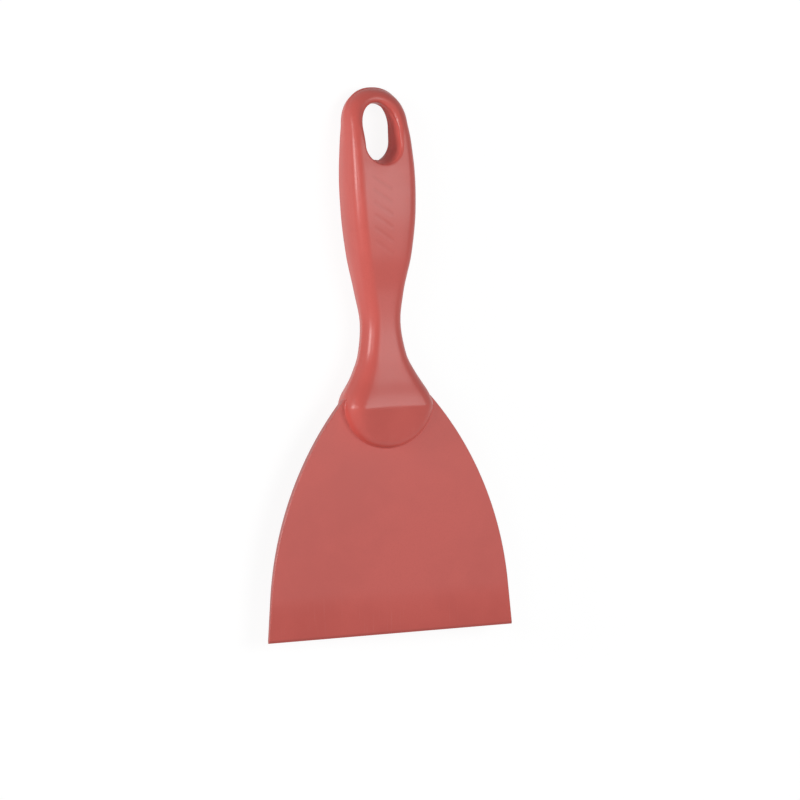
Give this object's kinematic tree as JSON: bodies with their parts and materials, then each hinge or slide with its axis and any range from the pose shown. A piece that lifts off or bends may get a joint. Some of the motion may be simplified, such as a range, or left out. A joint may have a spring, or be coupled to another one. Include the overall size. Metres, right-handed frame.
{
  "type": "hand scraper",
  "caption": "Plastic hand scraper: a tapered blade held in a moulded grip with a rounded bolster, a slim neck and a hanging slot.",
  "frame": {"origin": "middle of the overall box at the level of the surface that the scraper lies on, back down", "axes": "+X to the right across the blade, +Y from the scraping edge to the hanging slot, +Z out of the front face"},
  "size_m": [0.102, 0.204, 0.0193],
  "materials": {
    "blade_polypropylene": "satin",
    "handle_polypropylene": "satin"
  },
  "bodies": {
    "root": {"blade": "blade_polypropylene", "handle": "handle_polypropylene"}
  },
  "joints": []
}
